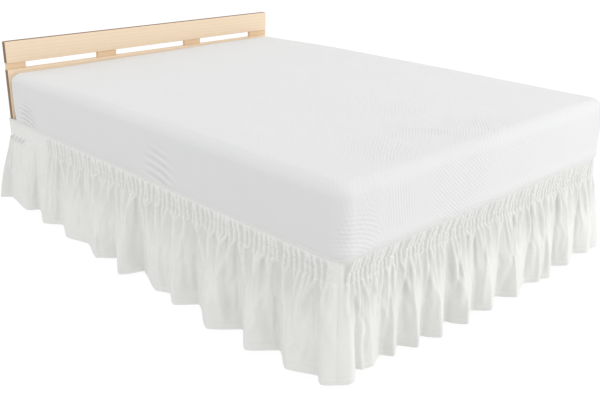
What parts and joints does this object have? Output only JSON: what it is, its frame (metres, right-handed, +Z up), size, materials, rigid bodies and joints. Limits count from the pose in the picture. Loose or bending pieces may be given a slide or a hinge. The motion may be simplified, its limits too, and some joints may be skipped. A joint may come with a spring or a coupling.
{
  "type": "gathered bed skirt on a plain bed with mattress, bed base and headboard",
  "caption": "Gathered bed skirt that hangs in folds round a bed base on its sides and foot, under a mattress, with a plain wooden headboard.",
  "frame": {"origin": "on the floor under the middle of the bed, on the underside of the middle leg", "axes": "+Z up; +Y towards the headboard, so the skirt's foot panel faces -Y; +X to the right of someone who stands at the foot and looks at the headboard"},
  "size_m": [1.75, 2.2046, 0.745],
  "materials": {
    "ruffle_cloth": "plain-woven white polyester-cotton, soft and matt",
    "heading_cloth": "the same white cloth, shirred in fine upright gathers",
    "binding_tape": "smooth white binding tape",
    "mattress_cover": "white stretch knit with a fine rippled pattern",
    "base_fabric": "plain grey-beige base cover",
    "board_pine": "pale pine, satin lacquer",
    "block_pine": "pine, a little darker, satin lacquer",
    "leg_wood": "brown stained wood, satin"
  },
  "bodies": {
    "root": {"ruffle_left": "ruffle_cloth", "ruffle_foot": "ruffle_cloth", "ruffle_right": "ruffle_cloth", "heading_left": "heading_cloth", "heading_foot": "heading_cloth", "heading_right": "heading_cloth", "binding": "binding_tape", "mattress": "mattress_cover", "bed_base": "base_fabric", "leg_foot_left": "leg_wood", "leg_foot_right": "leg_wood", "leg_head_left": "leg_wood", "leg_head_right": "leg_wood", "leg_middle": "leg_wood", "headboard_lower_board": "board_pine", "headboard_top_board": "board_pine", "headboard_block_1": "block_pine", "headboard_block_2": "block_pine", "headboard_block_3": "block_pine", "headboard_block_4": "block_pine", "headboard_leg_left": "board_pine", "headboard_leg_right": "board_pine"}
  },
  "joints": []
}
